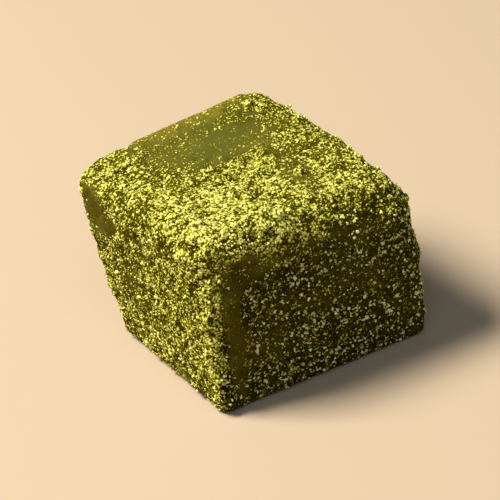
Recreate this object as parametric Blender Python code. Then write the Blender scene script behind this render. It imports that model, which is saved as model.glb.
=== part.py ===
"""Warabi mochi dusted with matcha: one hand-cut block of bracken-starch jelly.

Soft jelly is set in a tray, cut into blocks with a wet knife and rolled in green tea powder. The
block is a skewed box whose corners have slumped. The powder coat is relief on its skin, and the
larger crumbs of powder are fused to it. Written in metres, +Z up, standing on its cut base.
"""

import math
import random

import bmesh
import bpy
from mathutils import Matrix, Vector, noise

MM = 0.001

# The block, before its corners moved. X runs along the front face, Y runs from front to back.
WIDTH = 27.3 * MM
DEPTH = 26.3 * MM
HEIGHT = 22.8 * MM

# How far the cut and the slump moved each corner, in millimetres. The signs give the corner's side.
CORNER_SHIFT = {
    (-1, -1, -1): (0.2, 1.6, 0.0),
    (1, -1, -1): (0.7, -0.6, 0.0),
    (-1, 1, -1): (1.8, -2.4, 0.0),
    (1, 1, -1): (0.1, 0.2, 0.0),
    (-1, -1, 1): (-0.7, 1.0, 0.8),
    (1, -1, 1): (1.5, -2.0, -2.0),
    (-1, 1, 1): (-1.6, 0.8, -0.1),
    (1, 1, 1): (-1.2, 2.5, 1.4),
}

# Edge rounding, and how much rounder some corners and edges are. A 0 stands for a whole edge. The
# two corners that have sagged or been rubbed most are the roundest.
EDGE_RADIUS = 1.1 * MM
ROUNDER = (
    ((1, -1, 1), 2.0 * MM),
    ((1, 1, 1), 3.0 * MM),
    ((-1, 1, 1), 0.5 * MM),
    ((0, -1, 1), 1.8 * MM),
    ((-1, 0, 1), 0.4 * MM),
)

# Slump and cut marks of the jelly itself.
SIDE_BULGE = 0.7 * MM
TOP_CROWN = 0.50 * MM
CUT_WAVE = 0.22 * MM
CUT_WAVE_LENGTH = 9.0 * MM

# The powder coat: its depth where whole, its lumps, the drift along the top's front edge, and the
# clumps that have caked on the upright edge below it.
COAT_DEPTH = 0.16 * MM
LUMP_HEIGHT = 0.34 * MM
LUMP_LENGTH = 2.5 * MM
DRIFT_HEIGHT = 0.45 * MM
DRIFT_WIDTH = 3.2 * MM
CAKE_HEIGHT = 0.55 * MM
CAKE_WIDTH = 1.7 * MM

# Bare patches, where the coat has rubbed off or soaked in: centre, then reach along X, Y and Z, in mm.
BARE_PATCHES = (
    ((-1.4, 7.0, 23.2), (4.9, 4.2, 3.0)),
    ((3.4, 5.2, 23.1), (3.9, 2.9, 3.0)),
    ((0.2, 12.2, 23.6), (6.6, 3.0, 2.0)),
    ((-14.6, 9.7, 19.5), (2.5, 1.7, 2.1)),
)

# Crumbs of clotted powder, fused to the coat. Shares are for the top, front, back, left and right.
CRUMBS = 92
CRUMB_SMALLEST = 0.36 * MM
CRUMB_LARGEST = 0.74 * MM
CRUMB_FLATNESS = 0.75
CRUMB_SINK = 0.10
CRUMB_SHARES = (32, 8, 20, 22, 18)
CRUMB_SEED = 41
CRUMB_CLEAR_OF_BASE = 1.6 * MM
CRUMB_GAP = 0.3 * MM

CELLS = 24
EDGE_CROWDING = 0.35
BASE_RING = 2


def smoothstep(low, high, value):
    """0 below low, 1 above high, with an easy slope between them."""
    t = min(max((value - low) / (high - low), 0.0), 1.0)
    return t * t * (3.0 - 2.0 * t)


def corner_weight(unit, corner):
    """Share of one corner or edge at a point of the unit box, whose coordinates run from -1 to 1."""
    weight = 1.0
    for value, side in zip(unit, corner):
        weight *= 0.5 * (1.0 + side * value) if side else 1.0
    return weight


def edge_radius(unit):
    """Rounding radius at a point: a small one that grows toward the rounder corners and edges.

    It levels off at the edges, because a radius that still grew there would pinch a crease into them.
    """
    eased = [math.sin(0.5 * math.pi * value) for value in unit]
    return EDGE_RADIUS + sum(more * corner_weight(eased, sides) ** 1.6 for sides, more in ROUNDER)


def rounded_box_point(unit):
    """Point and outward direction on the box with rounded edges."""
    half = (WIDTH / 2, DEPTH / 2, HEIGHT / 2)
    radius = edge_radius(unit)
    flat = Vector((unit[0] * half[0], unit[1] * half[1], unit[2] * half[2]))
    core = Vector([max(-h + radius, min(h - radius, c)) for c, h in zip(flat, half)])
    outward = (flat - core).normalized()
    return core + outward * radius, outward


def skewed(point):
    """Moves a point of the box with the eight shifted corners."""
    unit = (point.x / (WIDTH / 2), point.y / (DEPTH / 2), point.z / (HEIGHT / 2))
    moved = point.copy()
    for corner, shift in CORNER_SHIFT.items():
        moved += Vector(shift) * MM * corner_weight(unit, corner)
    moved.z += HEIGHT / 2
    return moved


def coat_cover(point):
    """How much of the coat is left at a point, from 0 on bare jelly to 1."""
    cover = 1.0
    wander = 0.35 * noise.noise(point / (3.0 * MM)) + 0.25 * noise.noise(point / (1.1 * MM))
    for centre, reach in BARE_PATCHES:
        apart = [(c / MM - m) / r for c, m, r in zip(point, centre, reach)]
        distance = math.sqrt(sum(a * a for a in apart)) + wander
        cover = min(cover, smoothstep(0.75, 1.15, distance))
    return cover


def slump(unit):
    """Outward bulge of the soft sides under their own weight, and the crown of the top."""
    x, y, z = unit
    height = 0.5 * (z + 1.0)
    side = math.sin(math.pi * height ** 0.75) * (0.15 + 0.85 * (1.0 - x * x * y * y) ** 2)
    crown = (1.0 - x * x) * (1.0 - 0.5 * y * y)
    return side, crown


def drift(unit):
    """Powder heaped along the top's front edge and round its left corner, from 0 to 1."""
    x, y, z = unit
    to_front = (y + 0.80) * DEPTH / 2
    to_left = (x + 0.86) * WIDTH / 2
    along_front = math.exp(-(to_front / DRIFT_WIDTH) ** 2) * smoothstep(0.55, -0.35, x)
    along_left = math.exp(-(to_left / DRIFT_WIDTH) ** 2) * smoothstep(0.75, -0.2, y)
    return max(along_front, along_left) * smoothstep(0.7, 1.0, z)


def caked(unit, point):
    """Clumps of powder caked on the upright edge between the front and the left face, from 0 to 1."""
    away = math.hypot((unit[0] + 1.0) * WIDTH / 2, (unit[1] + 1.0) * DEPTH / 2)
    return math.exp(-(away / CAKE_WIDTH) ** 2) * smoothstep(-0.15, 0.45, noise.noise(point / (1.4 * MM)))


def skin_point(unit):
    """Point on the finished skin and its outward direction."""
    on_box, outward = rounded_box_point(unit)
    point = skewed(on_box)
    side, crown = slump(unit)
    level = abs(outward.z)
    raise_by = SIDE_BULGE * side * (1.0 - level)
    raise_by += TOP_CROWN * crown * max(outward.z, 0.0)
    raise_by += CUT_WAVE * noise.noise(point / CUT_WAVE_LENGTH + Vector((3.1, 0.0, 7.7)))
    cover = coat_cover(point)
    raise_by += COAT_DEPTH * (cover - 1.0)
    lumps = noise.noise(point / LUMP_LENGTH) + 0.6 * noise.noise(point / (0.55 * LUMP_LENGTH))
    raise_by += LUMP_HEIGHT * lumps * cover
    raise_by += DRIFT_HEIGHT * drift(unit) + CAKE_HEIGHT * caked(unit, point)
    above_base = smoothstep(0.0, 1.5 * MM, point.z)
    return point + outward * raise_by * above_base, outward


def crowded(step):
    """Grid line position from -1 to 1, with the lines closer together near both edges."""
    t = step / CELLS
    return 2.0 * (t - EDGE_CROWDING * math.sin(2.0 * math.pi * t) / (2.0 * math.pi)) - 1.0


def add_block():
    """The jelly block: five gridded faces drawn over the rounded box, and one flat cut base."""
    bm = bmesh.new()
    corners = {}

    def vertex(i, j, k):
        if (i, j, k) not in corners:
            unit = (crowded(i), crowded(j), crowded(k))
            corners[i, j, k] = bm.verts.new(skin_point(unit)[0])
        return corners[i, j, k]

    n = CELLS
    for i in range(n):
        for j in range(n):
            bm.faces.new((vertex(i, j, n), vertex(i + 1, j, n), vertex(i + 1, j + 1, n), vertex(i, j + 1, n)))
            bm.faces.new((vertex(i, 0, j), vertex(i + 1, 0, j), vertex(i + 1, 0, j + 1), vertex(i, 0, j + 1)))
            bm.faces.new((vertex(i, n, j), vertex(i, n, j + 1), vertex(i + 1, n, j + 1), vertex(i + 1, n, j)))
            bm.faces.new((vertex(0, i, j), vertex(0, i, j + 1), vertex(0, i + 1, j + 1), vertex(0, i + 1, j)))
            bm.faces.new((vertex(n, i, j), vertex(n, i + 1, j), vertex(n, i + 1, j + 1), vertex(n, i, j + 1)))
            if min(i, j) < BASE_RING or max(i, j) >= n - BASE_RING:
                bm.faces.new((vertex(i, j, 0), vertex(i, j + 1, 0), vertex(i + 1, j + 1, 0), vertex(i + 1, j, 0)))
    low, high = BASE_RING, n - BASE_RING
    rim = [vertex(low, i, 0) for i in range(low, high)]
    rim += [vertex(i, high, 0) for i in range(low, high)]
    rim += [vertex(high, i, 0) for i in range(high, low, -1)]
    rim += [vertex(i, low, 0) for i in range(high, low, -1)]
    for vert in rim:
        vert.co.z = 0.0
    bm.faces.new(rim)
    bmesh.ops.triangulate(bm, faces=bm.faces)

    mesh = bpy.data.meshes.new("warabi_mochi")
    bm.to_mesh(mesh)
    bm.free()
    block = bpy.data.objects.new("warabi_mochi", mesh)
    bpy.context.collection.objects.link(block)
    return block


def crumb_places():
    """Centre on the skin, outward direction and radius of each crumb: apart, and off the bare patches."""
    rng = random.Random(CRUMB_SEED)
    places = []
    while len(places) < CRUMBS:
        a, b = rng.uniform(-0.92, 0.92), rng.uniform(-0.92, 0.92)
        unit = rng.choices(
            ((a, b, 1.0), (a, -1.0, b), (a, 1.0, b), (-1.0, a, b), (1.0, a, b)),
            CRUMB_SHARES,
        )[0]
        radius = CRUMB_SMALLEST + (CRUMB_LARGEST - CRUMB_SMALLEST) * rng.random() ** 2.5
        luck = rng.random()
        point, outward = skin_point(unit)
        if point.z < CRUMB_CLEAR_OF_BASE or luck > coat_cover(point) * (0.45 + drift(unit)):
            continue
        if all((point - other).length > radius + size + CRUMB_GAP for other, _, size in places):
            places.append((point, outward, radius))
    return places


def add_crumbs(collection):
    """Flattened, uneven crumbs, each sunk a little into the coat."""
    rng = random.Random(CRUMB_SEED + 1)
    for point, outward, radius in crumb_places():
        bm = bmesh.new()
        bmesh.ops.create_icosphere(bm, subdivisions=1, radius=radius)
        for vert in bm.verts:
            vert.co *= 1.0 + rng.uniform(-0.22, 0.16)
            vert.co.z *= CRUMB_FLATNESS
        stand = outward.to_track_quat("Z", "Y").to_matrix().to_4x4()
        spin = Matrix.Rotation(rng.uniform(0.0, math.tau), 4, "Z")
        bm.transform(Matrix.Translation(point - outward * radius * CRUMB_SINK) @ stand @ spin)
        mesh = bpy.data.meshes.new("crumb")
        bm.to_mesh(mesh)
        bm.free()
        collection.objects.link(bpy.data.objects.new("crumb", mesh))


def fuse(block, collection):
    """Joins every object of the collection to the block, then removes them."""
    union = block.modifiers.new("crumbs", "BOOLEAN")
    union.operation = "UNION"
    union.operand_type = "COLLECTION"
    union.collection = collection
    union.solver = "EXACT"
    with bpy.context.temp_override(object=block):
        bpy.ops.object.modifier_apply(modifier=union.name)
    for crumb in list(collection.objects):
        bpy.data.objects.remove(crumb)
    bpy.data.collections.remove(collection)


def centre_on_origin(block):
    """Puts the middle of the block's footprint over the origin."""
    xs = [vert.co.x for vert in block.data.vertices]
    ys = [vert.co.y for vert in block.data.vertices]
    middle = Vector(((min(xs) + max(xs)) / 2, (min(ys) + max(ys)) / 2, 0.0))
    block.data.transform(Matrix.Translation(-middle))


def matcha_material():
    """Dry green tea powder."""
    material = bpy.data.materials.new("matcha_powder")
    material.use_nodes = True
    shader = material.node_tree.nodes["Principled BSDF"]
    shader.inputs["Base Color"].default_value = (0.30, 0.31, 0.045, 1.0)
    shader.inputs["Roughness"].default_value = 0.9
    shader.inputs["Metallic"].default_value = 0.0
    return material


for leftover in list(bpy.data.objects):
    bpy.data.objects.remove(leftover)

mochi = add_block()
crumb_collection = bpy.data.collections.new("crumbs")
bpy.context.scene.collection.children.link(crumb_collection)
add_crumbs(crumb_collection)
fuse(mochi, crumb_collection)
centre_on_origin(mochi)
mochi.data.materials.append(matcha_material())
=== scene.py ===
"""Warabi mochi dusted with matcha: the finish of one hand-cut block of bracken-starch jelly."""

import math
import random

import bmesh
import bpy
from mathutils import Matrix, Vector, noise


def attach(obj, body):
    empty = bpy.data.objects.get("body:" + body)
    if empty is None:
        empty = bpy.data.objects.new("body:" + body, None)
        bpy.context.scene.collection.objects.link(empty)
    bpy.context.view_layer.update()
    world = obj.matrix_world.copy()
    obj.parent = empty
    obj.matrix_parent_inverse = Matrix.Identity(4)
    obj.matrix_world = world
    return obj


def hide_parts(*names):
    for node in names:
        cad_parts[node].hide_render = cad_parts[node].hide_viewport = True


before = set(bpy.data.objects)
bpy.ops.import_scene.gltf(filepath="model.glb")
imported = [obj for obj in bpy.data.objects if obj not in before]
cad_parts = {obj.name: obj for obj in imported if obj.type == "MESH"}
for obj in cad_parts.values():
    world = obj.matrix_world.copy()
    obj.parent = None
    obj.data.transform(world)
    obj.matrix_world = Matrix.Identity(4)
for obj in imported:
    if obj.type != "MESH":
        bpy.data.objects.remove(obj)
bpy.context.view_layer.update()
MM = 0.001


# The jelly block: bracken starch and sugar cooked to a thick, dark olive jelly, set in a tray and cut
# with a wet knife. It stands on one cut face, its sides bulge a little, and one top corner has sagged.
# The film of powder that clings to the skin is part of it.
WIDTH = 27.3 * MM
DEPTH = 26.3 * MM
HEIGHT = 22.8 * MM

# The middle of the leaning block's footprint, which the finished meshes have at the origin.
MIDDLE = Vector((-0.0934, 0.2085, 0.0)) * MM

# How far the knife and the sag moved each corner, in millimetres. The signs say which corner it is.
CORNER_SHIFT = {
    (-1, -1, -1): (0.2, 1.6, 0.0),
    (1, -1, -1): (0.7, -0.6, 0.0),
    (-1, 1, -1): (1.8, -2.4, 0.0),
    (1, 1, -1): (0.1, 0.2, 0.0),
    (-1, -1, 1): (-0.7, 1.0, 0.8),
    (1, -1, 1): (1.5, -2.0, -2.0),
    (-1, 1, 1): (-1.6, 0.8, -0.1),
    (1, 1, 1): (-1.2, 2.5, 1.4),
}
EDGE_RADIUS = 1.1 * MM

# Corners and edges that are rounder than the rest, and by how much.
ROUNDER = (
    ((1, -1, 1), 2.0 * MM),
    ((1, 1, 1), 3.0 * MM),
    ((-1, 1, 1), 0.5 * MM),
    ((0, -1, 1), 1.8 * MM),
    ((-1, 0, 1), 0.4 * MM),
)
ROUNDER_FALLOFF = 1.6

# The sides are fullest below their middle, and fuller there than near the upright edges.
SIDE_BULGE = 0.7 * MM
BULGE_LOWERING = 0.75
BULGE_AT_EDGES = 0.15
TOP_CROWN = 0.50 * MM

# The knife left a faint wave in every face.
CUT_WAVE = 0.22 * MM
CUT_WAVE_LENGTH = 9.0 * MM
CUT_WAVE_START = Vector((3.1, 0.0, 7.7))

# The cut base is flat, and the relief grows to its full height over this stretch above it.
FLAT_BELOW = 0.05 * MM
CALM_ABOVE_BASE = 1.5 * MM

# The coat of powder, with its lumps. A layer of noise is an amount and a wave length.
COAT_DEPTH = 0.16 * MM
LUMP_HEIGHT = 0.34 * MM
LUMP_LENGTH = 2.5 * MM
LUMP_LAYERS = ((1.0, LUMP_LENGTH), (0.6, 0.55 * LUMP_LENGTH))

# The drift's crests, and where it fades out, on a scale from -1 to 1 across the block.
DRIFT_HEIGHT = 0.45 * MM
DRIFT_WIDTH = 3.2 * MM
DRIFT_NEAR_FRONT = -0.80
DRIFT_NEAR_LEFT = -0.86
DRIFT_FADES_RIGHT = (0.55, -0.35)
DRIFT_FADES_BACK = (0.75, -0.2)
DRIFT_FADES_DOWN = (0.7, 1.0)

# Powder caked in clumps on the upright edge between the front and the left face.
CAKE_HEIGHT = 0.55 * MM
CAKE_WIDTH = 1.7 * MM
CAKE_LENGTH = 1.4 * MM
CAKE_CLUMPS = (-0.15, 0.45)

# Clots and the finer grit on them are domes with cracks between. A crest is a mix of both.
CLOT_HEIGHT = 0.23 * MM
CLOT_LENGTH = 0.85 * MM
GRIT_HEIGHT = 0.10 * MM
GRIT_LENGTH = 0.44 * MM
GRIT_WHERE_BARE = 0.15
CRACK_DISTANCE = 0.8
DOME_MIDDLE = 0.6
CLOTS_IN_CREST = 0.6
GRIT_IN_CREST = 0.4

# Where the coat has rubbed off or soaked in: centre, then reach along X, Y and Z, in millimetres.
BARE_PATCHES = (
    ((-1.4, 7.0, 23.2), (4.9, 4.2, 3.0)),
    ((3.4, 5.2, 23.1), (3.9, 2.9, 3.0)),
    ((0.2, 12.2, 23.6), (6.6, 3.0, 2.0)),
    ((-14.6, 9.7, 19.5), (2.5, 1.7, 2.1)),
)

# In reaches of a patch: how far it is bare, and where the coat and then its powder are full again.
BARE_WITHIN = 0.75
COAT_FULL_AT = 1.15
POWDER_FULL_AT = 1.9
PATCH_FRAY = ((0.35, 3.0 * MM), (0.25, 1.1 * MM))

# Single flecks lie on the bare patches too, and the powder strays over their borders.
LEAST_FLECKS = 0.17
POWDER_STRAY = 1.1 * MM
POWDER_STRAY_LENGTH = 1.3 * MM
STRAY_SEED = 11

# How much powder each face took up: top, left, front, right and back.
FACE_POWDER = (0.56, 0.44, 0.28, 0.54, 0.58)

# How far the jelly of each face has soaked through its film of powder and darkened it, with painted shade
# in it: the front, turned away from the lamp, is darkest and the top lightest.
FACE_SOAK_AND_SHADE = (0.05, 0.30, 1.0, 0.35, 0.20)

# How sharply one face's value gives way to the next, and the faint clouds in powder and in soak and painted
# shade. The base looks along none of the five directions, so the shares never add up to less than the least
# one.
FACE_SHARPNESS = 3
LEAST_SHARE = 0.01
FACE_CLOUDS = ((0.16, 5.0 * MM),)
SOAK_CLOUDS = ((0.25, 4.0 * MM),)

# Places that soaked more or less than their face, or carry more or less painted shade or light: centre,
# reach, soak.
SOAK_AND_SHADE_SPOTS = (
    # The top's bare strip, lightened: a painted sheen where grazing light catches the jelly.
    ((0.5, 13.6, 23.6), (8.0, 3.6, 2.0), -0.5),
    ((1.0, 6.4, 23.2), (5.0, 4.0, 3.0), 0.15),
    ((-14.4, 9.7, 19.0), (2.5, 2.3, 2.1), 1.1),
    ((-14.4, 7.2, 17.8), (2.5, 1.7, 1.4), 1.1),
    # The front's top edge, lighter than the rest of the front: painted light where it turns up toward the
    # lamp.
    ((-4.0, -14.0, 20.6), (8.0, 2.8, 3.2), 0.0),
    ((9.5, -14.2, 19.6), (6.5, 2.8, 3.0), 0.5),
    ((-13.4, -11.8, 14.5), (2.2, 2.4, 8.5), 0.15),
    # The top left corner of the front, lightened: painted light where the corner lies in shade.
    ((-11.8, -12.6, 21.5), (2.8, 2.6, 2.6), -0.35),
)

# Places that took up more or less powder than their face: centre, reach, powder.
POWDER_SPOTS = (
    # The top, from its drift to its back corners.
    ((-8.4, -7.6, 23.0), (6.0, 6.0, 3.0), 0.68),
    ((-1.0, -3.6, 22.8), (4.5, 2.6, 3.0), 0.64),
    ((-2.6, 3.0, 23.0), (5.6, 1.8, 3.0), 0.44),
    ((3.9, -5.2, 22.4), (2.0, 3.6, 3.0), 0.24),
    ((5.4, -1.4, 22.6), (2.2, 2.6, 3.0), 0.26),
    ((1.2, 5.6, 23.1), (4.6, 2.6, 3.0), 0.02),
    ((9.6, -4.0, 22.2), (2.8, 4.5, 3.0), 0.37),
    ((12.6, -7.6, 21.4), (3.0, 4.0, 2.5), 0.60),
    ((10.0, -14.2, 20.4), (5.0, 2.4, 2.0), 0.34),
    ((6.4, -9.8, 21.9), (2.6, 1.7, 2.5), 0.64),
    ((3.6, -13.4, 21.2), (2.2, 1.8, 1.6), 0.20),
    ((5.0, 9.8, 23.5), (3.0, 1.8, 2.5), 0.40),
    ((8.6, 11.8, 23.8), (3.6, 2.2, 2.5), 0.66),
    ((-10.5, 8.0, 23.0), (4.5, 5.5, 2.5), 0.46),
    # The left face, from its front edge to its back.
    ((-13.8, -11.6, 12.0), (2.5, 1.9, 12.0), 0.62),
    ((-13.8, 4.0, 12.0), (2.5, 3.4, 4.0), 0.29),
    ((-14.0, -6.6, 16.2), (2.5, 1.8, 3.2), 0.50),
    ((-14.4, 0.2, 22.6), (1.8, 2.4, 1.8), 0.42),
    ((-14.6, 6.0, 20.8), (2.5, 2.4, 1.5), 0.42),
    ((-14.4, 9.9, 18.9), (2.5, 2.8, 2.9), 0.06),
    ((-14.4, 7.2, 17.7), (2.5, 2.0, 1.5), 0.08),
    ((-13.4, 11.4, 15.6), (2.5, 1.6, 2.2), 0.34),
    ((-14.2, 10.2, 16.0), (2.5, 1.3, 2.0), 0.20),
    # The front face, its top edge and its top left corner.
    ((-4.0, -12.5, 2.6), (8.0, 2.5, 2.0), 0.36),
    ((-2.4, -13.0, 21.3), (8.0, 2.8, 2.3), 0.54),
    ((-6.6, -13.0, 21.2), (4.8, 2.8, 2.4), 0.66),
    ((-10.5, -10.4, 23.0), (3.5, 2.8, 2.2), 0.74),
    ((-12.2, -12.8, 21.4), (2.0, 1.8, 1.8), 0.42),
    ((-10.9, -12.4, 10.6), (1.3, 2.5, 9.0), 0.07),
    ((-8.4, -13.0, 18.6), (3.0, 2.4, 1.9), 0.14),
)
SPOT_EDGE = (1.25, 0.6)
SPOT_FRAY = ((0.6, 1.9 * MM), (0.3, 0.8 * MM))

# The skin is a grid of cells on each side. The base has them only in a ring round its rim.
CELLS = 130
EDGE_CROWDING = 0.25
BASE_RING = 10


def smoothstep(low, high, value):
    """0 below low, 1 above high, with an easy slope between them."""
    t = min(max((value - low) / (high - low), 0.0), 1.0)
    return t * t * (3.0 - 2.0 * t)


def layered_noise(point, layers):
    """Sum of noise layers, each with an amount and a wave length."""
    return sum(amount * noise.noise(point / length) for amount, length in layers)


def corner_weight(unit, corner):
    """Share of one corner or edge at a point of the unit box, whose coordinates run from -1 to 1."""
    weight = 1.0
    for value, side in zip(unit, corner):
        weight *= 0.5 * (1.0 + side * value) if side else 1.0
    return weight


def edge_radius(unit):
    """Rounding radius, which grows toward the rounder corners and edges and levels off there."""
    eased = [math.sin(0.5 * math.pi * value) for value in unit]
    return EDGE_RADIUS + sum(
        more * corner_weight(eased, sides) ** ROUNDER_FALLOFF for sides, more in ROUNDER
    )


def rounded_box_point(unit):
    """Point and outward direction on the box with rounded edges."""
    half = (WIDTH / 2, DEPTH / 2, HEIGHT / 2)
    radius = edge_radius(unit)
    flat = Vector((unit[0] * half[0], unit[1] * half[1], unit[2] * half[2]))
    core = Vector([max(-h + radius, min(h - radius, c)) for c, h in zip(flat, half)])
    outward = (flat - core).normalized()
    return core + outward * radius, outward


def skewed(point):
    """Moves a point of the box with the eight shifted corners."""
    unit = (point.x / (WIDTH / 2), point.y / (DEPTH / 2), point.z / (HEIGHT / 2))
    moved = point.copy()
    for corner, shift in CORNER_SHIFT.items():
        moved += Vector(shift) * MM * corner_weight(unit, corner)
    moved.z += HEIGHT / 2
    return moved


def distance_to(point, centre, reach):
    """Distance from a spot's centre, 1 at its reach."""
    return math.sqrt(sum(((c / MM - m) / r) ** 2 for c, m, r in zip(point, centre, reach)))


def coat_cover(point, full_at=COAT_FULL_AT):
    """How much of the coat is left, from 0 inside a bare patch to 1 at full_at times its reach."""
    fray = layered_noise(point, PATCH_FRAY)
    away = min(distance_to(point, *patch) for patch in BARE_PATCHES)
    return smoothstep(BARE_WITHIN, full_at, away + fray)


def by_face(outward, values):
    """Blend of the five faces' values for a point that looks outward."""
    sides = (outward.z, -outward.x, -outward.y, outward.x, outward.y)
    shares = [max(side, 0.0) ** FACE_SHARPNESS for side in sides]
    return sum(share * value for share, value in zip(shares, values)) / max(sum(shares), LEAST_SHARE)


def by_place(point, outward, values, spots):
    """The blend of the faces' values, drawn toward each spot's value inside its reach."""
    amount = by_face(outward, values) + layered_noise(point, FACE_CLOUDS)
    fray = layered_noise(point, SPOT_FRAY)
    for centre, reach, value in spots:
        amount += (value - amount) * smoothstep(*SPOT_EDGE, distance_to(point, centre, reach) + fray)
    return amount


def drift(unit):
    """Powder heaped along the top's front edge and round its left corner, from 0 to 1."""
    x, y, z = unit
    to_front = (y - DRIFT_NEAR_FRONT) * DEPTH / 2
    to_left = (x - DRIFT_NEAR_LEFT) * WIDTH / 2
    along_front = math.exp(-((to_front / DRIFT_WIDTH) ** 2)) * smoothstep(*DRIFT_FADES_RIGHT, x)
    along_left = math.exp(-((to_left / DRIFT_WIDTH) ** 2)) * smoothstep(*DRIFT_FADES_BACK, y)
    return max(along_front, along_left) * smoothstep(*DRIFT_FADES_DOWN, z)


def caked(unit, point):
    """Clumps of powder caked on the upright edge between the front and the left face, from 0 to 1."""
    away = math.hypot((unit[0] + 1.0) * WIDTH / 2, (unit[1] + 1.0) * DEPTH / 2)
    clumps = smoothstep(*CAKE_CLUMPS, noise.noise(point / CAKE_LENGTH))
    return math.exp(-((away / CAKE_WIDTH) ** 2)) * clumps


def coarse_skin(unit):
    """Point, outward direction and coat cover on the skin without its clots and grit."""
    on_box, outward = rounded_box_point(unit)
    point = skewed(on_box)
    x, y, z = unit
    up_the_side = math.sin(math.pi * (0.5 * (z + 1.0)) ** BULGE_LOWERING)
    across = BULGE_AT_EDGES + (1.0 - BULGE_AT_EDGES) * (1.0 - x * x * y * y) ** 2
    raise_by = SIDE_BULGE * (up_the_side * across) * (1.0 - abs(outward.z))
    raise_by += TOP_CROWN * (1.0 - x * x) * (1.0 - 0.5 * y * y) * max(outward.z, 0.0)
    raise_by += CUT_WAVE * noise.noise(point / CUT_WAVE_LENGTH + CUT_WAVE_START)
    cover = coat_cover(point)
    raise_by += COAT_DEPTH * (cover - 1.0)
    raise_by += LUMP_HEIGHT * layered_noise(point, LUMP_LAYERS) * cover
    raise_by += DRIFT_HEIGHT * drift(unit) + CAKE_HEIGHT * caked(unit, point)
    above_base = smoothstep(0.0, CALM_ABOVE_BASE, point.z)
    return point + outward * raise_by * above_base, outward, cover


def domes(point, length):
    """Rounded clots packed against each other, from 0 in the cracks to 1 on the crowns."""
    return 1.0 - min(noise.voronoi(point / length)[0][0] / CRACK_DISTANCE, 1.0) ** 2


# Vector noise would otherwise take its seed from the clock.
noise.seed_set(STRAY_SEED)


def skin_vertex(unit):
    """Place, powder, crest and soak with painted shade of one vertex of the finished skin."""
    point, outward, _ = coarse_skin(unit)
    strayed = point + POWDER_STRAY * noise.noise_vector(point / POWDER_STRAY_LENGTH)
    kept = LEAST_FLECKS + (1.0 - LEAST_FLECKS) * coat_cover(strayed, POWDER_FULL_AT)
    powder = by_place(point, outward, FACE_POWDER, POWDER_SPOTS) * kept
    soak_and_shade = by_place(point, outward, FACE_SOAK_AND_SHADE, SOAK_AND_SHADE_SPOTS) + layered_noise(point, SOAK_CLOUDS)

    clots = domes(point, CLOT_LENGTH)
    grit = domes(point, GRIT_LENGTH)
    crest = CLOTS_IN_CREST * clots + GRIT_IN_CREST * grit
    rough = powder * smoothstep(0.0, CALM_ABOVE_BASE, point.z)
    gritty = GRIT_WHERE_BARE + (1.0 - GRIT_WHERE_BARE) * rough
    raised = CLOT_HEIGHT * (clots - DOME_MIDDLE) * rough + GRIT_HEIGHT * (grit - DOME_MIDDLE) * gritty
    if point.z < FLAT_BELOW:
        raised = 0.0
    return point + outward * raised - MIDDLE, powder, crest, soak_and_shade


def crowded(step):
    """Grid line position from -1 to 1, with the lines a little closer together near both edges."""
    t = step / CELLS
    return 2.0 * (t - EDGE_CROWDING * math.sin(2.0 * math.pi * t) / (2.0 * math.pi)) - 1.0


def store_state(mesh, powders, crests, soaks_and_shades):
    """Keeps with each vertex how much powder it carries, how high it stands and how far it is soaked and
    painted in shade.
    """
    for name, values in (("powder", powders), ("crest", crests), ("soak_and_shade", soaks_and_shades)):
        mesh.attributes.new(name, "FLOAT", "POINT").data.foreach_set("value", values)


def block_mesh():
    """Five gridded faces drawn over the rounded box, and one flat cut base."""
    skin, index = [], {}

    def at(i, j, k):
        if (i, j, k) not in index:
            index[i, j, k] = len(skin)
            skin.append(skin_vertex((crowded(i), crowded(j), crowded(k))))
        return index[i, j, k]

    n = CELLS
    faces = []
    for i in range(n):
        for j in range(n):
            faces.append((at(i, j, n), at(i + 1, j, n), at(i + 1, j + 1, n), at(i, j + 1, n)))
            faces.append((at(i, 0, j), at(i + 1, 0, j), at(i + 1, 0, j + 1), at(i, 0, j + 1)))
            faces.append((at(i, n, j), at(i, n, j + 1), at(i + 1, n, j + 1), at(i + 1, n, j)))
            faces.append((at(0, i, j), at(0, i, j + 1), at(0, i + 1, j + 1), at(0, i + 1, j)))
            faces.append((at(n, i, j), at(n, i + 1, j), at(n, i + 1, j + 1), at(n, i, j + 1)))
            if min(i, j) < BASE_RING or max(i, j) >= n - BASE_RING:
                faces.append((at(i, j, 0), at(i, j + 1, 0), at(i + 1, j + 1, 0), at(i + 1, j, 0)))
    low, high = BASE_RING, n - BASE_RING
    rim = [at(low, i, 0) for i in range(low, high)]
    rim += [at(i, high, 0) for i in range(low, high)]
    rim += [at(high, i, 0) for i in range(high, low, -1)]
    rim += [at(i, low, 0) for i in range(high, low, -1)]
    faces.append(rim)

    places, powders, crests, soaks_and_shades = zip(*skin)
    mesh = bpy.data.meshes.new("mochi_block")
    mesh.from_pydata(places, [], faces)
    mesh.shade_smooth()
    store_state(mesh, powders, crests, soaks_and_shades)
    return mesh


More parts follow.
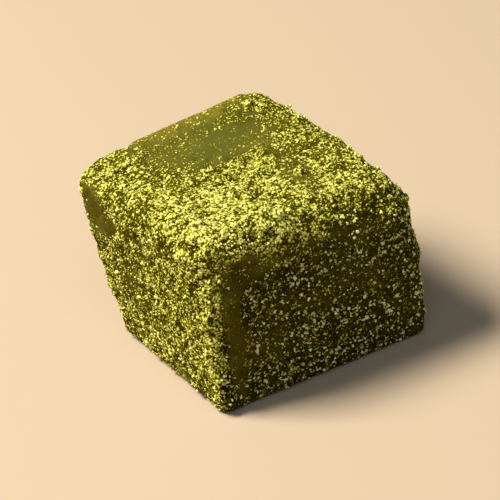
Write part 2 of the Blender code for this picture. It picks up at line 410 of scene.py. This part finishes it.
class Tree:
    """Shorthand for building a node tree: nodes by type, inputs by value or by link."""

    def __init__(self, tree):
        self.tree = tree

    def add(self, kind, inputs=None, **settings):
        """A node with its settings made first, because they decide which sockets it has."""
        node = self.tree.nodes.new(kind)
        for name, value in settings.items():
            setattr(node, name, value)
        for key, value in (inputs or {}).items():
            if isinstance(value, bpy.types.NodeSocket):
                self.tree.links.new(value, node.inputs[key])
            else:
                node.inputs[key].default_value = value
        return node

    def math(self, operation, a, b=0.0, clamp=False):
        """One sum, product or other operation on two values."""
        inputs = {0: a, 1: b}
        return self.add("ShaderNodeMath", inputs, operation=operation, use_clamp=clamp).outputs[0]

    def noise(self, where, scale, detail):
        """Cloudy noise with so many waves to a metre."""
        return self.add("ShaderNodeTexNoise", {"Vector": where, "Scale": scale, "Detail": detail})

    def total(self, *terms):
        """Sum of each value's distance from its middle, times its weight."""
        sum_so_far = -sum(middle * weight for _, middle, weight in terms)
        for value, _, weight in terms:
            inputs = {0: value, 1: weight, 2: sum_so_far}
            sum_so_far = self.add("ShaderNodeMath", inputs, operation="MULTIPLY_ADD").outputs[0]
        return sum_so_far

    def spread(self, value, low, high, to_low=0.0, to_high=1.0):
        """Turns a value's range from low to high into another one, with eased ends."""
        inputs = {"Value": value, "From Min": low, "From Max": high, "To Min": to_low, "To Max": to_high}
        return self.add("ShaderNodeMapRange", inputs, interpolation_type="SMOOTHSTEP").outputs["Result"]

    def blend(self, share, first, second):
        """Mix of two colours. The node has other sockets for values and vectors before theirs."""
        inputs = {0: share, 6: first, 7: second}
        return self.add("ShaderNodeMix", inputs, data_type="RGBA").outputs[2]


# Damp powder is dark, and darker still in the gaps between the islands, where painted shade lies over the
# damp. Dry powder is pale on its crowns, partly a painted highlight.
JELLY = (0.084, 0.090, 0.015, 1.0)
# Lighter, browner jelly where soak is low, on the top's bare strip most: a painted sheen of grazing light.
JELLY_PAINTED_SHEEN = (0.142, 0.110, 0.012, 1.0)
JELLY_DARK = (0.068, 0.052, 0.001, 1.0)
DAMP_POWDER = (0.060, 0.052, 0.001, 1.0)
# Soaked powder is darkest, which also paints the shade of the faces turned from the lamp.
SOAKED_SHADED_POWDER = (0.016, 0.013, 0.001, 1.0)
DAMP_GAP_SHADE = (0.030, 0.025, 0.0005, 1.0)
SOAKED_GAP_SHADE = (0.004, 0.003, 0.0005, 1.0)
DRY_POWDER = (0.315, 0.300, 0.008, 1.0)
PALE_POWDER = (0.870, 0.835, 0.240, 1.0)
# Pale powder turns grey-blue where soaked, partly the painted bluish light of the shaded front.
PALE_SOAKED_BLUE_SHADE = (0.800, 0.775, 0.460, 1.0)

# The layers that say how dry the bed is: pitch, middle value and weight.
ISLAND_LENGTH = 0.32 * MM
GRANULE_LENGTH = 0.30 * MM
DUST_LENGTH = 0.13 * MM
NOISE_MIDDLE = 0.5
CREST_MIDDLE = 0.6
POWDER_MIDDLE = 0.51
ISLAND_WEIGHT = 2.0
GRANULE_WEIGHT = -1.4
DUST_WEIGHT = 1.6
# Crowns of the relief count as drier, so paler, and its cracks as damper and darker: partly painted
# highlight and painted shade.
CREST_WEIGHT = 0.9
POWDER_WEIGHT = 1.0

# Dryness at which jelly turns to film, damp powder to dry, dry to pale, and the painted shade of deep gaps
# to damp bed. The film follows the powder too, and soak and painted shade work against dry and pale powder.
FILM_TURN = (-0.20, 0.22)
DRY_TURN = (-0.12, 0.12)
PALE_TURN = (0.0, 0.72)
GAP_SHADE_TURN = (-0.8, 0.0)
DRYNESS_IN_FILM = 0.45
SOAK_AND_SHADE_ON_DRY = -0.15
SOAK_AND_SHADE_ON_PALE = -0.35

# Soak and painted shade at which the jelly's painted sheen fades and pale powder turns from yellow to grey.
# Soak, painted shade and faint blotches darken the jelly.
SHEEN_TURN = (-0.6, 0.3)
GREY_TURN = (0.4, 1.0)
SOAK_AND_SHADE_DARKENING = 0.8
BLOTCHES_PER_METRE = 260.0
BLOTCH_TURN = (0.35, 0.65)
BLOTCH_DARKENING = 0.25

# The islands stand up from the bed, and fine dust roughens it. On bare jelly only a little of that is left.
JELLY_ROUGHNESS = 0.42
POWDER_ROUGHNESS = 0.95
ISLAND_EDGE = (-0.3, 0.6)
ISLAND_RELIEF = 0.6
DUST_RELIEF = 0.5
RELIEF_FULL_POWDER = 0.5
RELIEF_OF_JELLY = 0.06
RELIEF_HEIGHT = 0.11 * MM


def powder_bed(build, where, powder, crest):
    """Fine dust noise, and how dry the bed is: above 0 on islands of dry powder, below 0 between them."""
    islands = build.noise(where, 1.0 / ISLAND_LENGTH, 3.0)
    granules = build.add("ShaderNodeTexVoronoi", {"Vector": where, "Scale": 1.0 / GRANULE_LENGTH})
    dust = build.noise(where, 1.0 / DUST_LENGTH, 2.0)
    dryness = build.total(
        (islands.outputs["Fac"], NOISE_MIDDLE, ISLAND_WEIGHT),
        (granules.outputs["Distance"], NOISE_MIDDLE, GRANULE_WEIGHT),
        (dust.outputs["Fac"], NOISE_MIDDLE, DUST_WEIGHT),
        (crest, CREST_MIDDLE, CREST_WEIGHT),
        (powder, POWDER_MIDDLE, POWDER_WEIGHT),
    )
    return dust.outputs["Fac"], dryness


def coated_jelly():
    """Satin jelly that shows where the coat is thin, soaked powder on it, and islands of dry powder, with
    painted shade on the faces turned from the lamp and in the gaps, a painted sheen and paler crowns.
    """
    material = bpy.data.materials.new("coated_jelly")
    material.use_nodes = True
    build = Tree(material.node_tree)
    shader = material.node_tree.nodes["Principled BSDF"]
    where = build.add("ShaderNodeTexCoord").outputs["Object"]
    powder = build.add("ShaderNodeAttribute", attribute_name="powder").outputs["Fac"]
    crest = build.add("ShaderNodeAttribute", attribute_name="crest").outputs["Fac"]
    soak_and_shade = build.add("ShaderNodeAttribute", attribute_name="soak_and_shade").outputs["Fac"]

    blotches = build.noise(where, BLOTCHES_PER_METRE, 3.0).outputs["Fac"]
    dust, dryness = powder_bed(build, where, powder, crest)
    film = build.spread(build.total((dryness, 0.0, DRYNESS_IN_FILM), (powder, 0.0, 1.0)), *FILM_TURN)
    dry = build.spread(build.total((dryness, 0.0, 1.0), (soak_and_shade, 0.0, SOAK_AND_SHADE_ON_DRY)), *DRY_TURN)
    pale = build.spread(build.total((dryness, 0.0, 1.0), (soak_and_shade, 0.0, SOAK_AND_SHADE_ON_PALE)), *PALE_TURN)

    mottle = build.math("MULTIPLY", build.spread(blotches, *BLOTCH_TURN), BLOTCH_DARKENING)
    darkening = build.math("ADD", mottle, build.math("MULTIPLY", soak_and_shade, SOAK_AND_SHADE_DARKENING), clamp=True)
    jelly = build.blend(build.spread(soak_and_shade, *SHEEN_TURN), JELLY_PAINTED_SHEEN, JELLY)
    jelly = build.blend(darkening, jelly, JELLY_DARK)
    damp_and_shade = build.blend(soak_and_shade, DAMP_POWDER, SOAKED_SHADED_POWDER)
    # The gaps between the islands, darker still: painted shade over damp powder.
    gap_shade = build.blend(soak_and_shade, DAMP_GAP_SHADE, SOAKED_GAP_SHADE)
    damp_and_shade = build.blend(build.spread(dryness, *GAP_SHADE_TURN), gap_shade, damp_and_shade)
    coat = build.blend(dry, damp_and_shade, DRY_POWDER)
    coat = build.blend(pale, coat, build.blend(build.spread(soak_and_shade, *GREY_TURN), PALE_POWDER, PALE_SOAKED_BLUE_SHADE))
    colour = build.blend(film, jelly, coat)
    roughness = build.spread(film, 0.0, 1.0, JELLY_ROUGHNESS, POWDER_ROUGHNESS)
    material.node_tree.links.new(colour, shader.inputs["Base Color"])
    material.node_tree.links.new(roughness, shader.inputs["Roughness"])

    relief = build.total(
        (build.spread(dryness, *ISLAND_EDGE), 0.0, ISLAND_RELIEF),
        (dust, 0.0, DUST_RELIEF),
    )
    strength = build.spread(powder, 0.0, RELIEF_FULL_POWDER, RELIEF_OF_JELLY, 1.0)
    relief = build.math("MULTIPLY", relief, strength)
    bump = build.add("ShaderNodeBump", {"Height": relief, "Strength": 1.0, "Distance": RELIEF_HEIGHT})
    material.node_tree.links.new(bump.outputs["Normal"], shader.inputs["Normal"])

    shader.inputs["IOR"].default_value = 1.2
    shader.inputs["Specular IOR Level"].default_value = 0.04
    shader.inputs["Subsurface Weight"].default_value = 0.18
    shader.inputs["Subsurface Radius"].default_value = (1.0, 0.9, 0.25)
    shader.inputs["Subsurface Scale"].default_value = 0.7 * MM
    return material


block = bpy.data.objects.new("mochi_block", block_mesh())
bpy.context.collection.objects.link(block)
block.data.materials.append(coated_jelly())
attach(block, "root")
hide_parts("warabi_mochi")


# Crumbs: clots of damp powder as large as a sesame seed, stuck to the coat. Each is an uneven,
# flattened ball that is sunk a little into the skin.
CRUMBS = 92
CRUMB_SMALLEST = 0.36 * MM
CRUMB_LARGEST = 0.74 * MM
CRUMB_FLATNESS = 0.75
CRUMB_SINK = 0.10
CRUMB_CLEAR_OF_BASE = 1.6 * MM
CRUMB_GAP = 0.3 * MM
CRUMB_SEED = 41

# Shares of the top, front, back, left and right, and how far out on each they lie, on a scale to 1.
CRUMB_SHARES = (32, 8, 20, 22, 18)
CRUMB_FIELD = 0.92

# Most are small. The chance that one stays is highest on the drift.
CRUMB_SMALLNESS = 2.5
CRUMB_CHANCE = 0.45

# Bumps on a crumb, as shares of its radius: lumps as long as the radius, then finer grit and dust.
CRUMB_LUMPS = 0.60
CRUMB_GRIT = 0.40
CRUMB_DUST = 0.2
CRUMB_GRIT_FINENESS = 2.6
CRUMB_DUST_FINENESS = 6.0

# A crumb is powdery, and more so where the skin is. Its grit stands out in crests, which the coat paints
# paler, partly as painted highlight.
CRUMB_POWDER = 0.45
CRUMB_POWDER_GAIN = 0.5
CRUMB_CREST = 0.6
CRUMB_CREST_GAIN = 0.7


def crumb_places():
    """Centre on the skin, outward direction and radius of each crumb: apart, and off the bare patches."""
    rng = random.Random(CRUMB_SEED)
    places = []
    while len(places) < CRUMBS:
        a = rng.uniform(-CRUMB_FIELD, CRUMB_FIELD)
        b = rng.uniform(-CRUMB_FIELD, CRUMB_FIELD)
        unit = rng.choices(
            ((a, b, 1.0), (a, -1.0, b), (a, 1.0, b), (-1.0, a, b), (1.0, a, b)),
            CRUMB_SHARES,
        )[0]
        radius = CRUMB_SMALLEST + (CRUMB_LARGEST - CRUMB_SMALLEST) * rng.random() ** CRUMB_SMALLNESS
        luck = rng.random()
        point, outward, cover = coarse_skin(unit)
        if point.z < CRUMB_CLEAR_OF_BASE or luck > cover * (CRUMB_CHANCE + drift(unit)):
            continue
        if all((point - other).length > radius + size + CRUMB_GAP for other, _, size in places):
            places.append((point, outward, radius))
    return places


def crumb_mesh():
    """Every crumb in one mesh, each with lumps of its own and as dry, soaked and painted in shade as the
    skin round it.
    """
    bm = bmesh.new()
    powders, crests, soaks_and_shades = [], [], []
    for point, outward, radius in crumb_places():
        stand = outward.to_track_quat("Z", "Y").to_matrix().to_4x4()
        place = Matrix.Translation(point - outward * radius * CRUMB_SINK - MIDDLE) @ stand
        ball = bmesh.ops.create_icosphere(bm, subdivisions=3, radius=radius)["verts"]
        for vert in ball:
            seen = (vert.co + point) / radius
            grit = noise.noise(seen * CRUMB_GRIT_FINENESS)
            dust = noise.noise(seen * CRUMB_DUST_FINENESS)
            vert.co *= 1.0 + CRUMB_LUMPS * noise.noise(seen) + CRUMB_GRIT * grit + CRUMB_DUST * dust
            vert.co.z *= CRUMB_FLATNESS
            vert.co = place @ vert.co
            crests.append(CRUMB_CREST + CRUMB_CREST_GAIN * grit)
        powder_here = by_place(point, outward, FACE_POWDER, POWDER_SPOTS)
        powders += [CRUMB_POWDER + CRUMB_POWDER_GAIN * powder_here] * len(ball)
        soaks_and_shades += [by_place(point, outward, FACE_SOAK_AND_SHADE, SOAK_AND_SHADE_SPOTS)] * len(ball)
    mesh = bpy.data.meshes.new("matcha_crumbs")
    bm.to_mesh(mesh)
    bm.free()
    mesh.shade_smooth()
    store_state(mesh, powders, crests, soaks_and_shades)
    return mesh


crumbs = bpy.data.objects.new("matcha_crumbs", crumb_mesh())
bpy.context.collection.objects.link(crumbs)
crumbs.data.materials.append(block.data.materials[0])
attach(crumbs, "root")


# Loose matcha: fine leaf powder that clots into specks and grains as it takes up damp from the jelly.
# It lies thick along the top's front edge, thinly on the front face, and hardly on the bare patches.
CLEAR_OF_BASE = 0.25 * MM

# Powder on the skin at which single grains show, and at which they lie as thick as they can.
SCATTER_FROM_POWDER = (0.05, 0.27)

# A grain is a ball dented twice: all alike first, in ball radii, and then each where it lies.
BALL_DENT_PITCH = 0.9
BALL_DENT_DEPTH = 2.2
GRAIN_DENT_PITCH = 0.16 * MM
GRAIN_DENT_DEPTH = 1.5
GRAIN_STRETCH = (0.65, 1.25)
GRAIN_SMALLNESS = 2.2

# A grain's tint comes partly from how dry its place is, paler crowns with their painted highlight included,
# and more from chance.
DRYNESS_IN_TINT = 0.4
CHANCE_IN_TINT = 0.9
TINT_TURN = (-0.10, 0.95)

TURN_SEED = 3
SIZE_SEED = 4
STRETCH_SEED = 5
TINT_SEED = 6

# Each grain has a cell of its own on a square map for the bake, and uses the middle of the cell.
MAP_MARGIN = 0.15
MAP_USED = 0.7


def powder_tree():
    """Scatters uneven grains over a skin, more of them where its powder attribute is high."""
    tree = bpy.data.node_groups.new("matcha_scatter", "GeometryNodeTree")
    for name, kind in (
        ("Skin", "NodeSocketGeometry"),
        ("Per Square Metre", "NodeSocketFloat"),
        ("Smallest Radius", "NodeSocketFloat"),
        ("Largest Radius", "NodeSocketFloat"),
        ("Least Dryness", "NodeSocketFloat"),
        ("Full Dryness", "NodeSocketFloat"),
        ("Soak Thinning", "NodeSocketFloat"),
        ("Sides", "NodeSocketInt"),
        ("Rings", "NodeSocketInt"),
        ("Map Cells", "NodeSocketFloat"),
        ("Seed", "NodeSocketInt"),
        ("Material", "NodeSocketMaterial"),
    ):
        tree.interface.new_socket(name, in_out="INPUT", socket_type=kind)
    tree.interface.new_socket("Powder", in_out="OUTPUT", socket_type="NodeSocketGeometry")

    build = Tree(tree)
    given = build.add("NodeGroupInput").outputs

    def kept(name, data_type="FLOAT"):
        node = build.add("GeometryNodeInputNamedAttribute", {"Name": name}, data_type=data_type)
        return node.outputs[0]

    def keep(geometry, name, value, **settings):
        inputs = {"Geometry": geometry, "Name": name, "Value": value}
        return build.add("GeometryNodeStoreNamedAttribute", inputs, **settings).outputs[0]

    def vector(operation, inputs):
        return build.add("ShaderNodeVectorMath", inputs, operation=operation).outputs[0]

    powder, crest, soak_and_shade = kept("powder"), kept("crest"), kept("soak_and_shade")
    place = build.add("GeometryNodeInputPosition").outputs[0]
    _, dryness = powder_bed(build, place, powder, crest)
    dryness = build.math("SUBTRACT", dryness, build.math("MULTIPLY", soak_and_shade, given["Soak Thinning"]))
    share = build.spread(dryness, given["Least Dryness"], given["Full Dryness"])
    share = build.math("MULTIPLY", share, build.spread(powder, *SCATTER_FROM_POWDER))
    height = build.add("ShaderNodeSeparateXYZ", {"Vector": place}).outputs["Z"]
    share = build.math("MULTIPLY", share, build.spread(height, CLEAR_OF_BASE, 3.0 * CLEAR_OF_BASE))
    density = build.math("MULTIPLY", share, given["Per Square Metre"])
    points = build.add(
        "GeometryNodeDistributePointsOnFaces",
        {"Mesh": given["Skin"], "Density": density, "Seed": given["Seed"]},
        distribute_method="RANDOM",
    )

    def dented(geometry, pitch, depth):
        wave = build.noise(place, 1.0 / pitch, 1.0).outputs["Color"]
        push = vector("SUBTRACT", {0: wave, 1: (NOISE_MIDDLE,) * 3})
        push = vector("SCALE", {0: push, "Scale": depth})
        return build.add("GeometryNodeSetPosition", {"Geometry": geometry, "Offset": push}).outputs[0]

    def chance(seed):
        inputs = {2: 0.0, 3: 1.0, "Seed": seed}
        return build.add("FunctionNodeRandomValue", inputs, data_type="FLOAT").outputs[1]

    def chances(seed, low, high):
        inputs = {0: (low,) * 3, 1: (high,) * 3, "Seed": seed}
        return build.add("FunctionNodeRandomValue", inputs, data_type="FLOAT_VECTOR").outputs[0]

    ball = build.add(
        "GeometryNodeMeshUVSphere",
        {"Segments": given["Sides"], "Rings": given["Rings"], "Radius": 1.0},
    ).outputs
    grain = dented(ball["Mesh"], BALL_DENT_PITCH, BALL_DENT_DEPTH)
    grain = keep(grain, "own_map", ball["UV Map"], data_type="FLOAT2", domain="CORNER")

    size = build.add(
        "ShaderNodeMapRange",
        {
            "Value": build.math("POWER", chance(SIZE_SEED), GRAIN_SMALLNESS),
            "To Min": given["Smallest Radius"],
            "To Max": given["Largest Radius"],
        },
    ).outputs["Result"]
    grains = build.add(
        "GeometryNodeInstanceOnPoints",
        {
            "Points": points.outputs["Points"],
            "Instance": grain,
            "Rotation": chances(TURN_SEED, 0.0, math.tau),
            "Scale": vector("SCALE", {0: chances(STRETCH_SEED, *GRAIN_STRETCH), "Scale": size}),
        },
    ).outputs[0]

    paleness = build.total((dryness, 0.0, DRYNESS_IN_TINT), (chance(TINT_SEED), 0.0, CHANCE_IN_TINT))
    grains = keep(grains, "tint", build.spread(paleness, *TINT_TURN), data_type="FLOAT", domain="INSTANCE")
    number = build.add("GeometryNodeInputIndex").outputs[0]
    grains = keep(grains, "cell", number, data_type="FLOAT", domain="INSTANCE")
    grains = build.add("GeometryNodeRealizeInstances", {"Geometry": grains}).outputs[0]
    dent_depth = build.math("MULTIPLY", given["Largest Radius"], GRAIN_DENT_DEPTH)
    grains = dented(grains, GRAIN_DENT_PITCH, dent_depth)

    cell, cells = kept("cell"), given["Map Cells"]
    column = build.math("MODULO", cell, cells)
    row = build.math("FLOOR", build.math("DIVIDE", cell, cells))
    corner = build.add("ShaderNodeCombineXYZ", {"X": column, "Y": row}).outputs[0]
    inset = vector(
        "MULTIPLY_ADD",
        {
            0: kept("own_map", "FLOAT_VECTOR"),
            1: (MAP_USED, MAP_USED, 0.0),
            2: (MAP_MARGIN, MAP_MARGIN, 0.0),
        },
    )
    spot = vector("ADD", {0: corner, 1: inset})
    spot = vector("SCALE", {0: spot, "Scale": build.math("DIVIDE", 1.0, cells)})
    grains = keep(grains, "OFBake", spot, data_type="FLOAT2", domain="CORNER")
    grains = build.add("GeometryNodeSetShadeSmooth", {"Geometry": grains}).outputs[0]
    inputs = {"Geometry": grains, "Material": given["Material"]}
    grains = build.add("GeometryNodeSetMaterial", inputs).outputs[0]
    build.add("NodeGroupOutput", {"Powder": grains})
    return tree


def matcha_powder(name):
    """Dry tea powder, each grain with a tint of its own, its pale grains grey-blue where soaked and in
    painted shade.
    """
    material = bpy.data.materials.new(name)
    material.use_nodes = True
    build = Tree(material.node_tree)
    shader = material.node_tree.nodes["Principled BSDF"]
    tint = build.add("ShaderNodeAttribute", attribute_name="tint").outputs["Fac"]
    soak_and_shade = build.add("ShaderNodeAttribute", attribute_name="soak_and_shade").outputs["Fac"]
    pale = build.blend(build.spread(soak_and_shade, *GREY_TURN), PALE_POWDER, PALE_SOAKED_BLUE_SHADE)
    material.node_tree.links.new(build.blend(tint, DRY_POWDER, pale), shader.inputs["Base Color"])
    shader.inputs["Roughness"].default_value = POWDER_ROUGHNESS
    shader.inputs["Specular IOR Level"].default_value = 0.0
    return material


def scattered(name, skin, tree, sizes):
    """One kind of loose powder over the skin, as a plain mesh."""
    sockets = {item.name: item.identifier for item in tree.interface.items_tree}
    bed = bpy.data.objects.new(name + "_bed", skin)
    bpy.context.collection.objects.link(bed)
    modifier = bed.modifiers.new("scatter", "NODES")
    modifier.node_group = tree
    for socket, value in sizes.items():
        modifier[sockets[socket]] = value
    modifier[sockets["Material"]] = matcha_powder(name)
    shown = bed.evaluated_get(bpy.context.evaluated_depsgraph_get())
    mesh = bpy.data.meshes.new_from_object(shown)
    mesh.name = name
    bpy.data.objects.remove(bed)
    for used_up in ("own_map", "cell", "powder", "crest"):
        if used_up in mesh.attributes:
            mesh.attributes.remove(mesh.attributes[used_up])
    piece = bpy.data.objects.new(name, mesh)
    bpy.context.collection.objects.link(piece)
    return piece


def joined_skin(pieces):
    """The skin of several pieces in one mesh."""
    bm = bmesh.new()
    for piece in pieces:
        bm.from_mesh(piece.data)
    mesh = bpy.data.meshes.new("dusted_skin")
    bm.to_mesh(mesh)
    bm.free()
    return mesh


# Dust settles on dry islands alone. Grains and clots stick to soaked places too, and rather more there.
LOOSE_POWDER = {
    "matcha_dust": {
        "Per Square Metre": 3.9e7,
        "Smallest Radius": 0.040 * MM,
        "Largest Radius": 0.095 * MM,
        "Least Dryness": -0.10,
        "Full Dryness": 0.35,
        "Soak Thinning": 0.45,
        "Sides": 3,
        "Rings": 2,
        "Map Cells": 220.0,
        "Seed": 1,
    },
    "matcha_grains": {
        "Per Square Metre": 4.8e6,
        "Smallest Radius": 0.08 * MM,
        "Largest Radius": 0.19 * MM,
        "Least Dryness": -0.60,
        "Full Dryness": 0.90,
        "Soak Thinning": -0.35,
        "Sides": 5,
        "Rings": 3,
        "Map Cells": 100.0,
        "Seed": 2,
    },
    "matcha_clots": {
        "Per Square Metre": 1.1e6,
        "Smallest Radius": 0.13 * MM,
        "Largest Radius": 0.25 * MM,
        "Least Dryness": -0.3,
        "Full Dryness": 1.2,
        "Soak Thinning": -0.75,
        "Sides": 8,
        "Rings": 6,
        "Map Cells": 64.0,
        "Seed": 3,
    },
}

dusted_skin = joined_skin((block, crumbs))
scatter_tree = powder_tree()
for powder_name, powder_sizes in LOOSE_POWDER.items():
    powder_piece = scattered(powder_name, dusted_skin, scatter_tree, powder_sizes)
    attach(powder_piece, "root")


# The stand: a plain pale floor and soft studio light from behind and to the left, with the camera above
# the front corner. The light of a pale room fills the shade.
FLOOR_REACH = 3.0
FLOOR_COLOUR = (0.45, 0.35, 0.245, 1.0)
FLOOR_ROUGHNESS = 0.8
ROOM_COLOUR = (1.0, 0.96, 0.90, 1.0)
ROOM_STRENGTH = 0.10
LAMPS_AIM = Vector((0.0, 0.0, 0.012))
CAMERA_AIM = Vector((0.0, 0.0, 0.0115))


def plain_floor():
    """A wide pale sheet under the sweet."""
    r = FLOOR_REACH
    mesh = bpy.data.meshes.new("floor")
    mesh.from_pydata([(-r, -r, 0), (r, -r, 0), (r, r, 0), (-r, r, 0)], [], [(0, 1, 2, 3)])
    material = bpy.data.materials.new("pale_floor")
    material.use_nodes = True
    shader = material.node_tree.nodes["Principled BSDF"]
    shader.inputs["Base Color"].default_value = FLOOR_COLOUR
    shader.inputs["Roughness"].default_value = FLOOR_ROUGHNESS
    mesh.materials.append(material)
    floor = bpy.data.objects.new("floor", mesh)
    bpy.context.collection.objects.link(floor)
    return floor


def soft_lamp(name, place, size, power, colour):
    """A square area lamp that faces the sweet."""
    lamp = bpy.data.lights.new(name, "AREA")
    lamp.size = size
    lamp.energy = power
    lamp.color = colour
    holder = bpy.data.objects.new(name, lamp)
    holder.location = place
    holder.rotation_euler = (LAMPS_AIM - Vector(place)).to_track_quat("-Z", "Y").to_euler()
    bpy.context.collection.objects.link(holder)


def corner_camera(azimuth, elevation, roll, distance, lens):
    """A camera that looks down on the front corner."""
    camera = bpy.data.cameras.new("camera")
    camera.lens = lens
    camera.clip_start = 0.01
    turn, rise = math.radians(azimuth), math.radians(elevation)
    back = Vector((math.sin(turn) * math.cos(rise), -math.cos(turn) * math.cos(rise), math.sin(rise)))
    holder = bpy.data.objects.new("camera", camera)
    facing = (-back).to_track_quat("-Z", "Y").to_matrix().to_4x4()
    place = Matrix.Translation(CAMERA_AIM + back * distance)
    holder.matrix_world = place @ facing @ Matrix.Rotation(math.radians(roll), 4, "Z")
    bpy.context.collection.objects.link(holder)
    bpy.context.scene.camera = holder


def pale_room():
    """Faint light from all round."""
    world = bpy.data.worlds.new("studio")
    world.use_nodes = True
    background = world.node_tree.nodes["Background"]
    background.inputs["Color"].default_value = ROOM_COLOUR
    background.inputs["Strength"].default_value = ROOM_STRENGTH
    return world


plain_floor()
soft_lamp("key", place=(-0.37, 0.22, 0.65), size=0.28, power=12.9, colour=(1.0, 0.95, 0.84))
soft_lamp("fill", place=(-0.25, -0.60, 0.75), size=0.7, power=2.5, colour=(0.76, 0.87, 1.0))
corner_camera(azimuth=-31.0, elevation=32.0, roll=-7.0, distance=0.6, lens=370.0)
bpy.context.scene.world = pale_room()
bpy.context.scene.view_settings.view_transform = "Standard"
